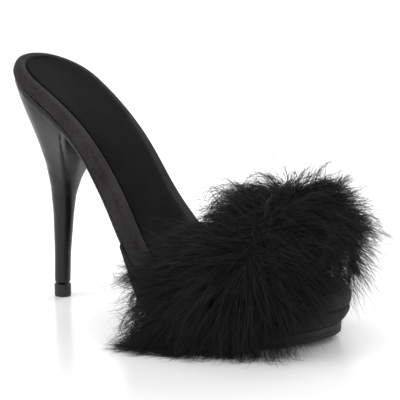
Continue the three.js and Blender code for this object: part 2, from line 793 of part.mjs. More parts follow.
// Marabou: a dense pouf over the strap, down to the floor on both sides. Its skin is a net of cells, and out
// of each outer cell grows one lock that bends and ends in a point.
function makePouf() {
  const skin = new Skin();
  const rows = 2 * (crownRows + dropRows);
  const net = Array.from({ length: rows + 1 }, (_, row) => {
    const round = 1 - Math.abs(row - rows / 2) / (rows / 2);
    const fullness = 1 - innerSlimness * THREE.MathUtils.smoothstep(row / rows, 0.5, 0.7);
    const back = strapBack - strapWidth * poufColumns.behind(round);
    const front = strapBack + strapWidth * (1 + poufColumns.ahead(round) * fullness);
    const thick = poufCover * poufColumns.thick(round) * fullness;
    const ring = [];
    for (let k = 0; k <= lockColumns; k += 1) {
      const turn = (Math.PI * k) / lockColumns;
      const shape = Math.sin(turn) ** 0.8 * (1 + poufColumns.lean(round) * Math.cos(turn));
      const x = THREE.MathUtils.lerp(back, front, 0.5 + 0.5 * Math.cos(turn) * (1 - 0.06 * Math.sin(turn)));
      const uneven = k > 0 && k < lockColumns ? 1 + 0.1 * wobble(row * 31 + k, 5.3) : 1;
      ring.push(poufPoint(x, row, thick * shape * uneven));
    }
    const inner = strapRowPlaces.map((x) => poufPoint(x, row, 0));
    return [...ring, ...inner];
  });
  const ids = net.map((ring) => ring.map((point) => skin.add(point)));

  const growLock = (places, number) => {
    const corners = places.map(([row, k]) => net[row][k]);
    const middle = corners.reduce((sum, c) => sum.addScaledVector(c, 0.25), new THREE.Vector3());
    const normal = corners[2].clone().sub(corners[0]).cross(corners[3].clone().sub(corners[1])).normalize();
    const hanging = 1 - THREE.MathUtils.smoothstep(middle.z, ballHeight, ballHeight + instepHeight);
    const heading = normal.add(new THREE.Vector3(0, 0, -lockLean * hanging)).normalize();
    const share = (places[0][1] + 0.5) / lockColumns;
    const shorter = 1 - lockTaper * THREE.MathUtils.lerp(share, 1 - share, hanging);
    const length = lockLength * shorter * (1 + 0.22 * wobble(number, 3.7));
    const end = middle.clone().addScaledVector(heading, length);
    const tip = skin.add(end.setZ(end.z - lockBend * length));
    const collar = corners.map((corner) =>
      skin.add(corner.clone().lerp(middle, 0.36).addScaledVector(heading, 0.5 * length)),
    );
    places.forEach(([row, k], i) => {
      const next = (i + 1) % places.length;
      const [nextRow, nextK] = places[next];
      skin.quad(ids[row][k], ids[nextRow][nextK], collar[next], collar[i]);
      skin.faces.push(collar[i], collar[next], tip);
    });
  };

  const count = net[0].length;
  for (let row = 0; row < rows; row += 1)
    for (let k = 0; k < count; k += 1) {
      const next = (k + 1) % count;
      const cell = [[row, k], [row + 1, k], [row + 1, k + 1], [row, k + 1]];
      if (k < lockColumns) growLock(cell, row * lockColumns + k);
      else skin.quad(ids[row][k], ids[row + 1][k], ids[row + 1][next], ids[row][next]);
    }
  for (const [row, up] of [
    [0, false],
    [rows, true],
  ]) {
    const mean = net[row].reduce((sum, p) => sum.addScaledVector(p, 1 / count), new THREE.Vector3());
    const middle = skin.add(mean);
    for (let k = 0; k < count; k += 1) {
      const next = (k + 1) % count;
      if (up) skin.faces.push(ids[row][k], middle, ids[row][next]);
      else skin.faces.push(ids[row][next], middle, ids[row][k]);
    }
  }
  return skin.geometry();
}

// The footbed with a clearance all round.
function footbedRoom() {
  const grown = insetLoop(footbedOutline, -(strapWall + seam));
  const level = (height) => grown.map(([along, across]) => place(along, across, height));
  return solidOf(stackRings([level(-footbedThickness - soleClearance), level(strapWall)], { tipped: true }));
}

// The sole and what stands under it, with a clearance all round.
function soleRoom() {
  const loop = insetLoop(outline(platformStart * soleLength, 20), -(strapWall + 2 * seam));
  const level = (height) =>
    loop.map(([along, across]) => {
      const top = place(along, 0, 3);
      return new THREE.Vector3(top.x, across, height === null ? top.z : height);
    });
  return solidOf(stackRings([level(-10), level(null)], { tipped: false }));
}

function makeMarabou() {
  const ground = new THREE.BoxGeometry(2 * soleLength, 2 * soleLength, heelHeight);
  ground.translate(0, 0, floorClearance - heelHeight / 2);
  const pouf = solidOf(makePouf()).subtract(soleRoom()).subtract(footbedRoom());
  return geometryOf(largest(pouf.subtract(solidOf(ground))));
}

// Materials
const microsuede = new THREE.MeshStandardMaterial({ color: 0x2b2728, roughness: 0.92 });
const sockSuede = new THREE.MeshStandardMaterial({ color: 0x151515, roughness: 0.95 });
const heelPlastic = new THREE.MeshStandardMaterial({ color: 0x1c1c1d, roughness: 0.32 });
const tipPlastic = new THREE.MeshStandardMaterial({ color: 0x161617, roughness: 0.5 });
const soleRubber = new THREE.MeshStandardMaterial({ color: 0x1a1a1b, roughness: 0.7 });
const strapSuede = new THREE.MeshStandardMaterial({ color: 0x1a1818, roughness: 0.95 });
const feather = new THREE.MeshStandardMaterial({ color: 0x0e0e0e, roughness: 0.85 });

const shoe = new THREE.Group();

function addPiece(name, geometry, material) {
  const piece = new THREE.Mesh(geometry, material);
  piece.name = name;
  shoe.add(piece);
}

const platform = largest(solidOf(makePlatform()).subtract(strapRoom()));
addPiece("outsole", makeOutsole(), soleRubber);
addPiece("platform", geometryOf(platform), microsuede);
addPiece("footbed", makeFootbed(), microsuede);
addPiece("sock_lining", makeSock(), sockSuede);
addPiece("heel", makeHeel(), heelPlastic);
addPiece("heel_tip", makeHeelTip(), tipPlastic);
addPiece("vamp_strap", makeStrap(), strapSuede);
addPiece("marabou_trim", makeMarabou(), feather);

export default shoe;
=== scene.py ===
import math

import bpy
import numpy as np
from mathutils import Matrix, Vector
from mathutils.bvhtree import BVHTree


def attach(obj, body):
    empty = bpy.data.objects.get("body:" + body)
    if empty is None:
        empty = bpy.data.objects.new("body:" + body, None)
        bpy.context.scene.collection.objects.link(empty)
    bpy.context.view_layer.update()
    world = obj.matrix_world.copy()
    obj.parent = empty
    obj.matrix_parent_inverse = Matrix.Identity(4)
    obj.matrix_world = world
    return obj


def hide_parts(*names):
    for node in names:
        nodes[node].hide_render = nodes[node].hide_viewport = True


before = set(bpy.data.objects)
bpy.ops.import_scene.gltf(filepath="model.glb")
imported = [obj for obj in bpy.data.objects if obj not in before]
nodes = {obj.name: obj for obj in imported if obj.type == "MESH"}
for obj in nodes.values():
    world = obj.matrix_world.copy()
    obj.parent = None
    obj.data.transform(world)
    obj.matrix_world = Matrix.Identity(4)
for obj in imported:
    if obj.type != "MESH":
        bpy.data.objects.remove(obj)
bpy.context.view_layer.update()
mm = 0.001
print("frame loaded:", ", ".join(sorted(nodes)))


# Small helpers
def deselectAll():
    bpy.ops.object.select_all(action="DESELECT")


def makeActive(piece):
    deselectAll()
    piece.select_set(True)
    bpy.context.view_layer.objects.active = piece


def editAll(piece):
    makeActive(piece)
    bpy.ops.object.mode_set(mode="EDIT")
    bpy.ops.mesh.select_all(action="SELECT")


def leaveEdit():
    bpy.ops.object.mode_set(mode="OBJECT")


def applyAll(piece):
    makeActive(piece)
    for modifier in list(piece.modifiers):
        bpy.ops.object.modifier_apply(modifier=modifier.name)


def addRemesh(piece, name, size):
    remesh = piece.modifiers.new(name, "REMESH")
    remesh.mode = "VOXEL"
    remesh.voxel_size = size * mm


def addSmooth(piece, name, rounds):
    smooth = piece.modifiers.new(name, "SMOOTH")
    smooth.factor = 0.5
    smooth.iterations = rounds
    return smooth


def addWeights(piece, name, weightAt):
    group = piece.vertex_groups.new(name=name)
    for vertex in piece.data.vertices:
        group.add([vertex.index], weightAt(vertex), "REPLACE")


def between(value, low, high):
    return min(max((value - low) / (high - low), 0), 1)


def copyOfNode(nodeName, pieceName):
    # a copy of a CAD node's mesh, merged, on an object of its own
    piece = bpy.data.objects.new(pieceName, nodes[nodeName].data.copy())
    bpy.context.scene.collection.objects.link(piece)
    piece.data.materials.clear()
    editAll(piece)
    bpy.ops.mesh.remove_doubles(threshold=0.00001)
    leaveEdit()
    return piece


dressPlan = {"quadFlatness": 30, "quadSkew": 60, "crease": 0.75, "levels": 2}


def dressNode(nodeName, pieceName, material, keepSharp):
    # the CAD form with its facets rounded out: quads again, sharp edges creased, then subdivided
    piece = copyOfNode(nodeName, pieceName)
    editAll(piece)
    bpy.ops.mesh.tris_convert_to_quads(
        face_threshold=math.radians(dressPlan["quadFlatness"]),
        shape_threshold=math.radians(dressPlan["quadSkew"]),
    )
    bpy.ops.mesh.select_all(action="DESELECT")
    bpy.ops.mesh.select_mode(type="EDGE")
    bpy.ops.mesh.edges_select_sharp(sharpness=math.radians(keepSharp))
    bpy.ops.transform.edge_crease(value=dressPlan["crease"])
    leaveEdit()
    rounding = piece.modifiers.new("rounding", "SUBSURF")
    rounding.levels = rounding.render_levels = dressPlan["levels"]
    applyAll(piece)
    finishPiece(piece, material, [nodeName])
    return piece


def smoothNode(nodeName, pieceName, material, plan):
    # the CAD form with its facets and joins melted together, as a moulding or a padded cover is
    piece = copyOfNode(nodeName, pieceName)
    addRemesh(piece, "even faces", plan["voxel"])
    applyAll(piece)
    soften = addSmooth(piece, "melt", plan["rounds"])
    if "thinFrom" in plan:
        def meltAt(vertex):
            share = 1 - (vertex.co.x / mm - plan["thinFrom"]) / plan["thinRun"]
            return min(max(share, plan["thinMelt"]), 1)

        addWeights(piece, "melting", meltAt)
        soften.vertex_group = "melting"
    applyAll(piece)
    finishPiece(piece, material, [nodeName])
    return piece


def finishPiece(piece, material, replaced=()):
    piece.data.materials.clear()
    piece.data.materials.append(material)
    makeActive(piece)
    bpy.ops.object.shade_smooth()
    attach(piece, "root")
    if replaced:
        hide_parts(*replaced)


# Materials
class Recipe:
    # one node material: a Principled shader with noises in object coordinates
    def __init__(self, name):
        self.material = bpy.data.materials.new(name)
        self.material.use_nodes = True
        self.nodes = self.material.node_tree.nodes
        self.links = self.material.node_tree.links
        self.shader = self.nodes["Principled BSDF"]
        self.place = self.nodes.new("ShaderNodeTexCoord").outputs["Object"]

    def set(self, **values):
        for name, value in values.items():
            self.shader.inputs[name.replace("_", " ")].default_value = value
        return self

    def noise(self, perMetre, detail, stretch=(1, 1, 1), roughness=0.5):
        mapping = self.nodes.new("ShaderNodeMapping")
        mapping.inputs["Scale"].default_value = stretch
        self.links.new(self.place, mapping.inputs["Vector"])
        made = self.nodes.new("ShaderNodeTexNoise")
        made.inputs["Scale"].default_value = perMetre
        made.inputs["Detail"].default_value = detail
        made.inputs["Roughness"].default_value = roughness
        self.links.new(mapping.outputs["Vector"], made.inputs["Vector"])
        return made.outputs["Fac"]

    def attribute(self, name):
        made = self.nodes.new("ShaderNodeAttribute")
        made.attribute_name = name
        return made.outputs["Fac"]

    def ramp(self, source, stops):
        made = self.nodes.new("ShaderNodeValToRGB")
        elements = made.color_ramp.elements
        while len(elements) < len(stops):
            elements.new(0.5)
        for element, (at, colour) in zip(elements, stops):
            element.position = at
            element.color = (*colour, 1)
        self.links.new(source, made.inputs["Fac"])
        return made.outputs["Color"]

    def blend(self, first, second, share):
        made = self.nodes.new("ShaderNodeMix")
        made.inputs["Factor"].default_value = share
        self.links.new(first, made.inputs["A"])
        self.links.new(second, made.inputs["B"])
        return made.outputs["Result"]

    def range(self, source, low, high):
        made = self.nodes.new("ShaderNodeMapRange")
        made.inputs["To Min"].default_value = low
        made.inputs["To Max"].default_value = high
        self.links.new(source, made.inputs["Value"])
        return made.outputs["Result"]

    def colour(self, source):
        self.links.new(source, self.shader.inputs["Base Color"])

    def rough(self, source):
        self.links.new(source, self.shader.inputs["Roughness"])

    def bump(self, source, strength, depth, under=None):
        made = self.nodes.new("ShaderNodeBump")
        made.inputs["Strength"].default_value = strength
        made.inputs["Distance"].default_value = depth
        self.links.new(source, made.inputs["Height"])
        if under:
            self.links.new(under, made.inputs["Normal"])
        self.links.new(made.outputs["Normal"], self.shader.inputs["Normal"])
        return made.outputs["Normal"]


def makeSuede(name, dark, light, sheen):
    # short nap: fine grain, broad brushed patches
    suede = Recipe(name).set(Specular_IOR_Level=0.06, Sheen_Weight=sheen, Sheen_Roughness=0.45)
    patches = suede.noise(60, 4)
    grain = suede.noise(1700, 2)
    speckle = suede.noise(900, 2, roughness=0.8)
    suede.colour(suede.ramp(suede.blend(patches, speckle, 0.6), [(0.34, dark), (0.66, light)]))
    suede.rough(suede.range(grain, 0.8, 1.0))
    nap = suede.bump(grain, strength=0.35, depth=0.0002)
    suede.bump(suede.noise(420, 3), strength=0.25, depth=0.0003, under=nap)
    return suede.material


def makeHeelGloss():
    # moulded plastic, polished along the heel
    gloss = Recipe("heel gloss").set(Coat_Weight=0.16, Coat_Roughness=0.14, Specular_IOR_Level=0.24)
    streaks = gloss.noise(240, 3, stretch=(1, 1, 0.06))
    gloss.colour(gloss.ramp(streaks, [(0.3, (0.004, 0.004, 0.0043)), (0.75, (0.009, 0.009, 0.0096))]))
    gloss.rough(gloss.range(streaks, 0.22, 0.36))
    waves = gloss.bump(gloss.noise(70, 1, stretch=(1, 1, 0.12)), strength=0.08, depth=0.0006)
    gloss.bump(gloss.noise(2600, 1), strength=0.03, depth=0.00005, under=waves)
    return gloss.material


def makeLiftPlastic():
    # hard and scuffed
    lift = Recipe("top lift").set(Specular_IOR_Level=0.4)
    scuffs = lift.noise(900, 3, stretch=(1, 1, 4))
    lift.colour(lift.ramp(scuffs, [(0.35, (0.012, 0.012, 0.013)), (0.8, (0.026, 0.026, 0.027))]))
    lift.rough(lift.range(scuffs, 0.4, 0.65))
    lift.bump(scuffs, strength=0.12, depth=0.0001)
    return lift.material


def makeSoleRubber():
    # dull and finely grained
    rubber = Recipe("outsole rubber").set(Specular_IOR_Level=0.35)
    mottle = rubber.noise(140, 4)
    grain = rubber.noise(2300, 2)
    rubber.colour(rubber.ramp(mottle, [(0.3, (0.011, 0.011, 0.012)), (0.75, (0.024, 0.024, 0.025))]))
    rubber.rough(rubber.range(grain, 0.5, 0.75))
    rubber.bump(grain, strength=0.2, depth=0.0001)
    return rubber.material


def makeBarbBlack():
    # each barb has a tone of its own, from its mesh's attribute: the feathers' black, and lighter barbs
    # that are painted sheen, the grey streaks where the marabou catches the light
    barb = Recipe("marabou barbs").set(Specular_IOR_Level=0.2, Sheen_Weight=0.02, Sheen_Roughness=0.35)
    # from the feathers' black up to the painted sheen of the lighter barbs
    tonesAndSheen = [(0.0, (0.0012, 0.0012, 0.0012)), (1.0, (0.021, 0.0205, 0.0205))]
    barb.colour(barb.ramp(barb.attribute("shade"), tonesAndSheen))
    barb.rough(barb.range(barb.noise(900, 2), 0.55, 0.8))
    return barb.material


def makeFeatherDown():
    # what is seen deep between the barbs
    down = Recipe("feather down").set(Specular_IOR_Level=0.1)
    tufts = down.noise(700, 5)
    down.colour(down.ramp(tufts, [(0.35, (0.003, 0.003, 0.003)), (0.8, (0.009, 0.009, 0.0095))]))
    down.rough(down.range(tufts, 0.85, 1.0))
    down.bump(tufts, strength=0.9, depth=0.002)
    return down.material


def makeFloorPaper():
    # smooth enough to mirror the heel faintly
    paper = Recipe("floor paper").set(Specular_IOR_Level=0.5)
    tooth = paper.noise(30, 3)
    paper.colour(paper.ramp(tooth, [(0.3, (0.86, 0.86, 0.865)), (0.8, (0.88, 0.88, 0.885))]))
    paper.rough(paper.range(tooth, 0.16, 0.22))
    return paper.material


# Camera, at the angle the shoe is seen from, stopping at the floor
viewPlan = {
    "from": (0.3778, -0.5936, 0.1985),
    "towards": (-0.020, 0.0, 0.060),
    "lens": 123.15,
    "film": 36,
    "shift": (0.0378, 0.0204),
    "clip": (0.01, 50),
}
eye = bpy.data.cameras.new("camera")
eye.lens = viewPlan["lens"]
eye.sensor_width = viewPlan["film"]
eye.shift_x, eye.shift_y = viewPlan["shift"]
eye.clip_start, eye.clip_end = viewPlan["clip"]
camera = bpy.data.objects.new("camera", eye)
bpy.context.scene.collection.objects.link(camera)
camera.location = viewPlan["from"]
looking = Vector(viewPlan["towards"]) - Vector(viewPlan["from"])
camera.rotation_mode = "QUATERNION"
camera.rotation_quaternion = looking.to_track_quat("-Z", "Y")
bpy.context.scene.camera = camera

# Floor and light
lightPlan = {
    "floor": 12,
    "sky": 1.15,
    "lamps": [
        # name, place, target, size, watts
        ("key", (-0.9, -1.2, 1.3), (-0.05, 0, 0.05), (1.3, 1.3), 11),
        ("side", (1.3, -0.5, 0.9), (0.0, 0, 0.05), (0.9, 1.2), 3),
        ("back", (0.1, 1.4, 1.0), (0.0, 0, 0.08), (1.4, 0.7), 12),
    ],
}
deselectAll()
bpy.ops.mesh.primitive_plane_add(size=lightPlan["floor"], location=(0, 0, 0))
floor = bpy.context.active_object
floor.name = "floor"
floor.data.materials.append(makeFloorPaper())

sky = bpy.data.worlds.new("studio")
sky.use_nodes = True
sky.node_tree.nodes["Background"].inputs["Color"].default_value = (1, 1, 1, 1)
sky.node_tree.nodes["Background"].inputs["Strength"].default_value = lightPlan["sky"]
bpy.context.scene.world = sky
bpy.context.scene.view_settings.view_transform = "Standard"
for name, place, target, size, watts in lightPlan["lamps"]:
    lamp = bpy.data.lights.new(name, "AREA")
    lamp.shape = "RECTANGLE"
    lamp.size, lamp.size_y = size
    lamp.energy = watts
    stand = bpy.data.objects.new(name, lamp)
    bpy.context.scene.collection.objects.link(stand)
    stand.location = place
    stand.rotation_mode = "QUATERNION"
    stand.rotation_quaternion = (Vector(target) - Vector(place)).to_track_quat("-Z", "Y")
print("camera, floor and light set")

# Sole, footbed, sock, heel and strap
suedePlan = {
    # dark, light, sheen
    "cover": ((0.011, 0.0096, 0.01), (0.036, 0.0318, 0.033), 0.05),
    "sock": ((0.0015, 0.0015, 0.0015), (0.0065, 0.0064, 0.0066), 0.014),
    "strap": ((0.004, 0.004, 0.004), (0.009, 0.0085, 0.0085), 0.03),
}
coverSuede = makeSuede("cover suede", *suedePlan["cover"])
sockSuede = makeSuede("sock suede", *suedePlan["sock"])
strapSuede = makeSuede("strap suede", *suedePlan["strap"])
footbed = dressNode("footbed", "footbedCover", coverSuede, keepSharp=50)
dressNode("sock_lining", "sockLining", sockSuede, keepSharp=40)
outsole = dressNode("outsole", "outsoleTread", makeSoleRubber(), keepSharp=30)
dressNode("heel_tip", "topLift", makeLiftPlastic(), keepSharp=40)
strap = dressNode("vamp_strap", "strapBand", strapSuede, keepSharp=60)

heelPlan = {
    "voxel": 0.8,
    "rounds": 16,
    "thinFrom": -84,  # along X, where the thin arch cover begins, which melts less
    "thinRun": 10,
    "thinMelt": 0.06,
}
smoothNode("heel", "heelMoulding", makeHeelGloss(), heelPlan)

platformPlan = {
    "voxel": 1.3,
    "rounds": 2,
    "endFrom": -34,  # along X, where the cover's thin end starts to close on the heel's arch cover
    "endTo": -40,
    "closed": 1.4,
    "along": (-0.64, 0, 0.77),
}
platform = smoothNode("platform", "platformCover", coverSuede, platformPlan)
closing = Vector(platformPlan["along"]) * platformPlan["closed"]
for vertex in platform.data.vertices:
    vertex.co += closing * between(vertex.co.x / mm, platformPlan["endFrom"], platformPlan["endTo"]) * mm
print("sole, heel and strap dressed")

# Marabou: dark down over the strap, and barbs combed away from the boa's line. Lengths in mm.
downPlan = {
    "voxel": 2.0,
    "settle": 60,
    "tuft": 1.6,
    "tuftSize": 9,
    "trailStart": 2,  # along X, where the trailing edge starts to be drawn forward
    "trailHeight": (36, 18),  # from none of it to all of it
    "drawn": 0.6,  # by this share
    "sunk": 3.5,
    "sunkMore": 5.5,  # where the pile is lower
    "sunkAtMost": 0.44,  # of the thickness there
    "justInside": 0.1,
}
pilePlan = {
    # where the pile is lower: behind the crown, and ahead of it on the inner side
    "behind": 0.25,
    "behindX": (34, 8),
    "behindZ": (46, 56),
    "aheadX": (30, 55),
    "aheadY": (-5, 20),
    "aheadZ": (10, 30),
}


def meshArrays(piece):
    mesh = piece.data
    mesh.calc_loop_triangles()
    points = np.empty(len(mesh.vertices) * 3)
    mesh.vertices.foreach_get("co", points)
    corners = np.empty(len(mesh.loop_triangles) * 3, np.int64)
    mesh.loop_triangles.foreach_get("vertices", corners)
    return points.reshape(-1, 3), corners.reshape(-1, 3)


def treeOf(piece):
    points, faces = meshArrays(piece)
    return BVHTree.FromPolygons(points.tolist(), faces.tolist())


def lowerPile(place):
    x, y, z = place / mm
    behind = pilePlan["behind"] * between(x, *pilePlan["behindX"]) * between(z, *pilePlan["behindZ"])
    ahead = between(y, *pilePlan["aheadY"]) * between(x, *pilePlan["aheadX"])
    return max(behind, ahead * between(z, *pilePlan["aheadZ"]))


def keepLargest(piece):
    # loose crumbs that the sinking leaves are deleted
    name = piece.name
    editAll(piece)
    bpy.ops.mesh.separate(type="LOOSE")
    leaveEdit()
    parts = sorted(bpy.context.selected_objects, key=lambda part: len(part.data.vertices))
    largest = parts.pop()
    for crumb in parts:
        bpy.data.objects.remove(crumb, do_unlink=True)
    largest.name = name
    return largest


def makeDown():
    piece = copyOfNode("marabou_trim", "marabouDown")
    addRemesh(piece, "even faces", downPlan["voxel"])
    addSmooth(piece, "settle", downPlan["settle"])
    tufts = bpy.data.textures.new("tufts", "CLOUDS")
    tufts.noise_scale = downPlan["tuftSize"] * mm
    tufts.noise_depth = 2
    ruffle = piece.modifiers.new("ruffle", "DISPLACE")
    ruffle.texture = tufts
    ruffle.texture_coords = "LOCAL"
    ruffle.strength = downPlan["tuft"] * mm * 2
    ruffle.mid_level = 0.5
    applyAll(piece)

    # drawn forward at the back near the floor, where only single locks trail
    start = downPlan["trailStart"]
    for vertex in piece.data.vertices:
        x, _, z = vertex.co / mm
        if x < start:
            vertex.co.x += (start - x) * downPlan["drawn"] * between(z, *downPlan["trailHeight"]) * mm

    # sunk, though never by more than a share of its thickness there
    deepest = (downPlan["sunk"] + downPlan["sunkMore"]) * mm
    tree = treeOf(piece)

    def sunkAt(vertex):
        depth = (downPlan["sunk"] + downPlan["sunkMore"] * lowerPile(vertex.co)) * mm
        inside = vertex.co - vertex.normal * downPlan["justInside"] * mm
        thickness = tree.ray_cast(inside, -vertex.normal)[3] or 0
        return min(depth, downPlan["sunkAtMost"] * thickness) / deepest

    addWeights(piece, "lower", sunkAt)
    sink = piece.modifiers.new("sink", "DISPLACE")
    sink.vertex_group = "lower"
    sink.strength = -deepest
    sink.mid_level = 0
    addRemesh(piece, "even faces again", downPlan["voxel"])
    applyAll(piece)
    return keepLargest(piece)


down = makeDown()
print("down made")

# Barbs, which start on the down
boaLine = {"x": 41, "swing": 4, "y": 47, "z": 38, "rise": 40, "end": 66, "points": 41}
rootPlan = {
    "middleHeight": 30,  # faces that look towards this height along the shoe's middle are the inner side
    "inwardsAtMost": 0.2,
    "offStrap": 3.0,
    "lyingHeight": 4,  # faces on the floor, up to this height
    "lyingTurn": -0.5,
    "rootDepth": 1.2,
}
combPlan = {
    "offDown": 0.8,
    "offSole": 0.6,
    "offFloor": 0.5,
    "pushedAtMost": 4,
    "deepest": 12,  # inside a solid, past which a barb isn't pushed out of it
    "lift": 0.15,  # of a barb that was pushed out
    "clingFrom": 1.5,
    "clingRun": 8,
    "earlyCurl": 0.3,
    "lateCurl": 0.7,
    "farthest": 22,  # from the down
    "widest": 77,  # from the middle of the shoe
    "foremost": 99,
}
crownPlan = {
    # where barbs stand up: faces that look up, ahead of a place along X
    "turnFrom": 0.45,
    "turnRun": 0.4,
    "placeFrom": 12,
    "placeRun": 20,
    "stand": (0.2, 1.3),
}
lockPlan = {
    "locks": 1500,  # guides that the barbs of one lock follow
    "length": (24, 44),
    "steps": 9,
    "stand": (0.05, 0.4),
    "comb": {"stray": 0.16, "curl": 0.06, "hang": 0.08, "cling": 0.45},
    "off": (3.0, 4.5),  # how far from the down: at least, and more on average
    "longerOnCrown": 1.5,
    "shorterWhereLow": 0.5,
    "trailBehind": 14,
    "trailBelow": 46,
    "trailLonger": (2.0, 5.0),
    "barbs": 14000,
    "rings": 6,
    "offShare": (0.65, 1.1),
    "lengthShare": (0.6, 1.0),
    "spread": 1.3,
    "gathered": 0.65,
    "splay": 1.0,
    "wave": 0.5,
    "waveTurns": (4, 9),
    # shares of the barb's own and its lock's random tone; its light end is painted sheen
    "ownToneAndSheenShare": 0.45,
    "lockToneAndSheenShare": 0.7,
    "width": (0.18, 0.36),
}
underPlan = {
    # short barbs that close the pile
    "barbs": 4000,
    "length": (10, 18),
    "steps": 3,
    "stand": (0.05, 0.5),
    "comb": {"stray": 0.3, "curl": 0.1, "hang": 0.1, "cling": 0.5},
    "off": (2.5, 1.2),
    # a random tone for each barb, here and in the plans below; its light end is painted sheen
    "shade": (2, 0.6),  # power and scale of a random share
    "width": (0.3, 0.5),
}
fringePlan = {
    # those that hang over the toes
    "barbs": 3400,
    "length": (26, 48),
    "steps": 7,
    "stand": (0.0, 0.4),
    "comb": {"stray": 0.2, "curl": 0.07, "hang": 0.3, "cling": 0.08},
    "off": (11, 5),
    "shade": (2, 1),
    "width": (0.18, 0.34),
    "rimTurn": 0.2,
    "rimAhead": 52,
    "rimHeight": (14, 78),
}
trailPlan = {
    # those that spread behind the strap, near the floor
    "barbs": 800,
    "length": (26, 46),
    "steps": 7,
    "stand": (0.1, 0.6),
    "comb": {"stray": 0.22, "curl": 0.06, "hang": 0.06, "cling": 0.0},
    "off": (14, 6),
    "shade": (2, 1),
    "width": (0.18, 0.32),
    "edgeTurn": -0.1,
    "edgeBehind": 10,
    "edgeBelow": 44,
    "edgeBeside": 34,
}
wispPlan = {
    # the longest, that stand off
    "barbs": 2000,
    "length": (28, 46),
    "steps": 9,
    "stand": (0.2, 0.9),
    "comb": {"stray": 0.3, "curl": 0.07, "hang": 0.08, "cling": 0.08},
    "off": (10, 6),
    "shade": (1, 1),
    "width": (0.18, 0.3),
}
fuzzPlan = {
    # barbules beside the long barbs
    "barbs": 14000,
    "firstRing": 2,
    "splay": 0.4,
    "length": (2.5, 6.0),
    "offFloor": 0.4,
    "width": 0.11,
}
strandPlan = {"sides": 3, "taper": 0.75}
draw = np.random.default_rng(17)
barbBlack = makeBarbBlack()


def unit(vectors):
    return vectors / np.maximum(np.linalg.norm(vectors, axis=-1, keepdims=True), 1e-9)


def rising(values, start, run):
    return np.clip((values - start) / run, 0, 1)


downPoints, downFaces = meshArrays(down)
downTree = treeOf(down)
strapTree = treeOf(strap)
soleTrees = [treeOf(solePiece) for solePiece in (footbed, platform, outsole)]


def nearestOn(tree, places):
    found = [tree.find_nearest(Vector(place)) for place in places]
    spots = np.array([hit[0] for hit in found])
    normals = np.array([hit[1] for hit in found])
    return spots, normals, np.array([hit[3] for hit in found])


def boaPoints():
    turn = np.radians(np.linspace(-boaLine["end"], boaLine["end"], boaLine["points"]))
    x = boaLine["x"] + boaLine["swing"] * np.sin(turn) ** 2
    y = boaLine["y"] * np.sin(turn)
    z = boaLine["z"] + boaLine["rise"] * np.cos(turn)
    return np.column_stack([x, y, z]) * mm


boa = boaPoints()


def awayFromBoa(places):
    gaps = places[:, None, :] - boa[None, :, :]
    nearest = np.argmin((gaps ** 2).sum(2), axis=1)
    return gaps[np.arange(len(places)), nearest]


def rootsOnDown(count, where):
    # roots all over the outer side of the down, none against the strap, the foot's way in or the floor
    corners = downPoints[downFaces]
    cross = np.cross(corners[:, 1] - corners[:, 0], corners[:, 2] - corners[:, 0])
    area = np.linalg.norm(cross, axis=1)
    normals = unit(cross)
    middles = corners.mean(1)
    heights = np.full(len(middles), rootPlan["middleHeight"] * mm)
    axis = np.column_stack([middles[:, 0], np.zeros(len(middles)), heights])
    inwards = (normals * unit(axis - middles)).sum(1)
    free = nearestOn(strapTree, middles)[2] > rootPlan["offStrap"] * mm
    lying = (middles[:, 2] < rootPlan["lyingHeight"] * mm) & (normals[:, 2] < rootPlan["lyingTurn"])
    outside = where(middles, normals) if where else inwards < rootPlan["inwardsAtMost"]
    weight = area * (free & outside & ~lying)
    picked = draw.choice(len(weight), count, p=weight / weight.sum())
    u, v = draw.random((2, count))
    over = u + v > 1
    u[over], v[over] = 1 - u[over], 1 - v[over]
    a, b, c = (downPoints[downFaces[picked, i]] for i in range(3))
    return a + (b - a) * u[:, None] + (c - a) * v[:, None], normals[picked]


def keepOff(tree, places, gap):
    # places pushed out of a solid, and to a gap from its face
    spots, outwards, _ = nearestOn(tree, places)
    height = ((places - spots) * outwards).sum(1, keepdims=True)
    pushed = np.clip(gap * mm - height, 0, combPlan["pushedAtMost"] * mm)
    pushed = pushed * (height > -combPlan["deepest"] * mm)
    return places + outwards * pushed, height, outwards, pushed


def combBarbs(roots, normals, length, steps, stand, comb):
    # barbs that leave the pile, lean away from the boa's line and hang under their own weight
    count = len(roots)
    away = awayFromBoa(roots)
    flow = unit(away - normals * (away * normals).sum(1, keepdims=True))
    heading = unit(flow + normals * stand[:, None] + draw.normal(0, comb["stray"], (count, 3)))
    turning = draw.normal(0, 1, (count, 3)) * comb["curl"]
    places = roots - normals * rootPlan["rootDepth"] * mm
    path = [places]
    standing = [np.zeros(count)]
    step = (length / steps)[:, None]
    for number in range(steps):
        places = places + heading * step
        places, height, outwards, pushed = keepOff(downTree, places, combPlan["offDown"])
        for tree in soleTrees:
            places = keepOff(tree, places, combPlan["offSole"])[0]
        places[:, 2] = np.maximum(places[:, 2], combPlan["offFloor"] * mm)
        path.append(places)
        beyond = np.abs(places[:, 1]) > combPlan["widest"] * mm
        beyond |= places[:, 0] > combPlan["foremost"] * mm
        standing.append(nearestOn(downTree, places)[2] + beyond)
        pull = rising(height, combPlan["clingFrom"] * mm, combPlan["clingRun"] * mm)
        late = (number + 1) / steps
        heading = unit(
            heading
            + turning * (combPlan["earlyCurl"] + combPlan["lateCurl"] * late)
            - outwards * pull * comb["cling"]
            + outwards * (pushed > 0) * combPlan["lift"]
            - np.array([0, 0, 1.0]) * comb["hang"] * late
        )
    return np.stack(path, axis=1), np.stack(standing, axis=1)


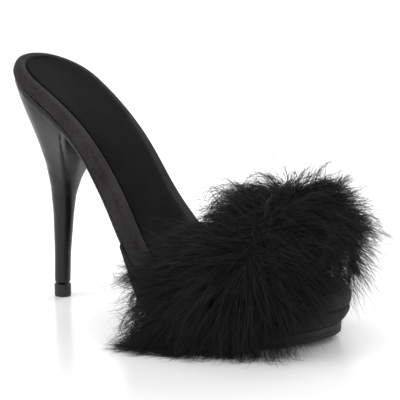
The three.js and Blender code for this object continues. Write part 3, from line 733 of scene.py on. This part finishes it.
def combed(count, plan, where=None):
    # barbs stand up on the crown and lie closer everywhere else
    roots, normals = rootsOnDown(count, where)
    up = rising(normals[:, 2], crownPlan["turnFrom"], crownPlan["turnRun"])
    up = up * rising(roots[:, 0] / mm, crownPlan["placeFrom"], crownPlan["placeRun"])
    stand = draw.uniform(*plan["stand"], count) + up * draw.uniform(*crownPlan["stand"], count)
    length = draw.uniform(*plan["length"], count) * mm
    paths, standing = combBarbs(roots, normals, length, plan["steps"], stand, plan["comb"])
    return paths, standing, up, roots


def reachWithin(standing, limit, reach):
    # the share of each path that stays closer to the down than the barb's own limit
    over = standing > limit[:, None]
    first = np.where(over.any(1), over.argmax(1), standing.shape[1] - 1)
    before = np.maximum(first - 1, 0)
    rows = np.arange(len(limit))
    low, high = standing[rows, before], standing[rows, first]
    part = np.clip((limit - low) / np.maximum(high - low, 1e-6), 0, 1)
    return np.minimum(reach, (before + part) / (standing.shape[1] - 1))


def pathsAt(paths, rings, reach):
    # each path again with another number of rings, cut off at its own share of the length
    at = np.linspace(0, 1, rings)[None, :] * reach[:, None] * (paths.shape[1] - 1)
    low = np.minimum(at.astype(int), paths.shape[1] - 2)
    part = (at - low)[:, :, None]
    rows = np.arange(len(paths))[:, None]
    return paths[rows, low] * (1 - part) + paths[rows, low + 1] * part


def strandMesh(name, paths, width, shade):
    # closed thin strands along the paths, each running out to a point
    count, rings, _ = paths.shape
    sides = strandPlan["sides"]
    run = unit(np.gradient(paths, axis=1))
    side = unit(np.cross(run, draw.normal(0, 1, (count, 1, 3))))
    other = np.cross(run, side)
    along = np.linspace(0, 1, rings)[None, :, None]
    radius = 0.5 * width[:, None, None] * (1 - strandPlan["taper"] * along)
    turns = np.arange(sides) * 2 * math.pi / sides
    body = paths[:, :-1, None, :] + radius[:, :-1, None, :] * (
        side[:, :-1, None, :] * np.cos(turns)[None, None, :, None]
        + other[:, :-1, None, :] * np.sin(turns)[None, None, :, None]
    )
    perStrand = (rings - 1) * sides + 1
    points = np.concatenate([body.reshape(count, -1, 3), paths[:, -1:, :]], axis=1).reshape(-1, 3)
    faces = [[2, 1, 0]]
    for ring in range(rings - 2):
        for i in range(sides):
            j = (i + 1) % sides
            low, high = ring * sides, ring * sides + sides
            faces += [[low + i, low + j, high + j], [low + i, high + j, high + i]]
    last = (rings - 2) * sides
    faces += [[last + i, last + (i + 1) % sides, perStrand - 1] for i in range(sides)]
    triangles = (np.arange(count)[:, None, None] * perStrand + np.array(faces)[None]).reshape(-1, 3)
    mesh = bpy.data.meshes.new(name)
    mesh.vertices.add(len(points))
    mesh.vertices.foreach_set("co", points.astype(np.float32).ravel())
    mesh.loops.add(triangles.size)
    mesh.loops.foreach_set("vertex_index", triangles.astype(np.int32).ravel())
    mesh.polygons.add(len(triangles))
    mesh.polygons.foreach_set("loop_start", np.arange(len(triangles), dtype=np.int32) * 3)
    mesh.polygons.foreach_set("use_smooth", np.ones(len(triangles), bool))
    mesh.update(calc_edges=True)
    # each strand's tone on all its points; its light end is painted sheen
    tonesAndSheen = np.repeat(shade[:, None], perStrand, axis=1).astype(np.float32).ravel()
    mesh.attributes.new("shade", "FLOAT", "POINT").data.foreach_set("value", tonesAndSheen)
    mesh.validate()
    piece = bpy.data.objects.new(name, mesh)
    bpy.context.scene.collection.objects.link(piece)
    print(name, len(triangles), "triangles")
    return piece


def addStrands(name, paths, width, shade):
    piece = strandMesh(name, paths, draw.uniform(*width, len(paths)) * mm, shade)
    finishPiece(piece, barbBlack)


def addLooseBarbs(name, plan, where=None):
    # single barbs, each cut off where it stands too far from the down
    count = plan["barbs"]
    paths, standing, _, _ = combed(count, plan, where)
    least, more = plan["off"]
    limit = np.minimum(least + draw.exponential(more, count), combPlan["farthest"]) * mm
    paths = pathsAt(paths, plan["steps"] + 1, reachWithin(standing, limit, np.ones(count)))
    # a random tone for each barb; its light end is painted sheen
    power, scale = plan["shade"]
    addStrands(name, paths, plan["width"], draw.random(count) ** power * scale)


def makeGuides():
    # one path for each lock, with how far its barbs may stand off and its tone, whose lighter locks are
    # painted sheen
    count = lockPlan["locks"]
    paths, standing, up, roots = combed(count, lockPlan)
    share = np.array([1 - lockPlan["shorterWhereLow"] * lowerPile(root) for root in roots])
    trailing = (roots[:, 0] < lockPlan["trailBehind"] * mm) & (roots[:, 2] < lockPlan["trailBelow"] * mm)
    share[trailing] = draw.uniform(*lockPlan["trailLonger"], trailing.sum())
    least, more = lockPlan["off"]
    limit = (least + draw.exponential(more, count)) * (1 + lockPlan["longerOnCrown"] * up) * share * mm
    return {"paths": paths, "standing": standing, "limit": limit, "lockToneAndSheen": draw.random(count) ** 2}


def barbsInLocks(guides, count):
    # barbs that follow their lock's guide and draw together towards its end
    picked = draw.integers(0, len(guides["paths"]), count)
    limit = guides["limit"][picked] * draw.uniform(*lockPlan["offShare"], count)
    reach = reachWithin(guides["standing"][picked], limit, draw.uniform(*lockPlan["lengthShare"], count))
    paths = pathsAt(guides["paths"][picked], lockPlan["rings"], reach)
    s = np.linspace(0, 1, lockPlan["rings"])[None, :, None]
    beside = draw.normal(0, lockPlan["spread"] * mm, (count, 1, 3))
    apart = draw.normal(0, lockPlan["splay"] * mm, (count, 1, 3))
    turns = draw.uniform(*lockPlan["waveTurns"], (count, 1, 1))
    wave = np.sin(s * turns + draw.uniform(0, 6, (count, 1, 1)))
    paths = paths + beside * (1 - lockPlan["gathered"] * s) + apart * s ** 2
    paths = paths + wave * draw.normal(0, lockPlan["wave"] * mm, (count, 1, 3)) * s
    paths[:, :, 2] = np.maximum(paths[:, :, 2], combPlan["offFloor"] * mm)
    # the lock's tone and the barb's own; the light end is painted sheen
    shade = guides["lockToneAndSheen"][picked] * lockPlan["lockToneAndSheenShare"] + draw.random(count) ** 2 * lockPlan["ownToneAndSheenShare"]
    return paths, np.clip(shade, 0, 1)


def addFuzz(carriers):
    count = fuzzPlan["barbs"]
    picked = draw.integers(0, len(carriers), count)
    ring = draw.integers(fuzzPlan["firstRing"], carriers.shape[1] - 1, count)
    share = draw.random((count, 1))
    start = carriers[picked, ring] * (1 - share) + carriers[picked, ring + 1] * share
    along = unit(carriers[picked, ring + 1] - carriers[picked, ring])
    sprout = unit(along + draw.normal(0, fuzzPlan["splay"], start.shape))
    reach = draw.uniform(*fuzzPlan["length"], (count, 1)) * mm
    paths = np.stack([start, start + sprout * reach], axis=1)
    paths[:, :, 2] = np.maximum(paths[:, :, 2], fuzzPlan["offFloor"] * mm)
    # barbules with a random tone; its light end is painted sheen
    fuzz = strandMesh("marabouFuzz", paths, np.full(count, fuzzPlan["width"] * mm), draw.random(count))
    finishPiece(fuzz, barbBlack)


def overToes(middles, normals):
    # the pile's front rim, low enough to hang over the toes
    lowest, highest = fringePlan["rimHeight"]
    rim = (normals[:, 0] > fringePlan["rimTurn"]) | (middles[:, 0] > fringePlan["rimAhead"] * mm)
    return rim & (middles[:, 2] > lowest * mm) & (middles[:, 2] < highest * mm)


def behindStrap(middles, normals):
    # the trailing edge on both sides of the foot, below the footbed's side
    edge = (normals[:, 0] < trailPlan["edgeTurn"]) & (middles[:, 0] < trailPlan["edgeBehind"] * mm)
    beside = np.abs(middles[:, 1]) > trailPlan["edgeBeside"] * mm
    return edge & (middles[:, 2] < trailPlan["edgeBelow"] * mm) & beside


addLooseBarbs("marabouUnder", underPlan)
guides = makeGuides()
carriers = []
for name in ("marabouLongA", "marabouLongB"):
    paths, shade = barbsInLocks(guides, lockPlan["barbs"] // 2)
    addStrands(name, paths, lockPlan["width"], shade)
    carriers.append(paths)
addLooseBarbs("marabouFringe", fringePlan, overToes)
addLooseBarbs("marabouTrail", trailPlan, behindStrap)
addLooseBarbs("marabouWisps", wispPlan)
addFuzz(np.concatenate(carriers))
finishPiece(down, makeFeatherDown(), ["marabou_trim"])
print("marabou made")

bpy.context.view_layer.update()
shown = [piece for piece in bpy.data.objects if piece.type == "MESH" and piece.visible_get()]
print("triangles", {piece.name: len(piece.data.loop_triangles) for piece in shown})
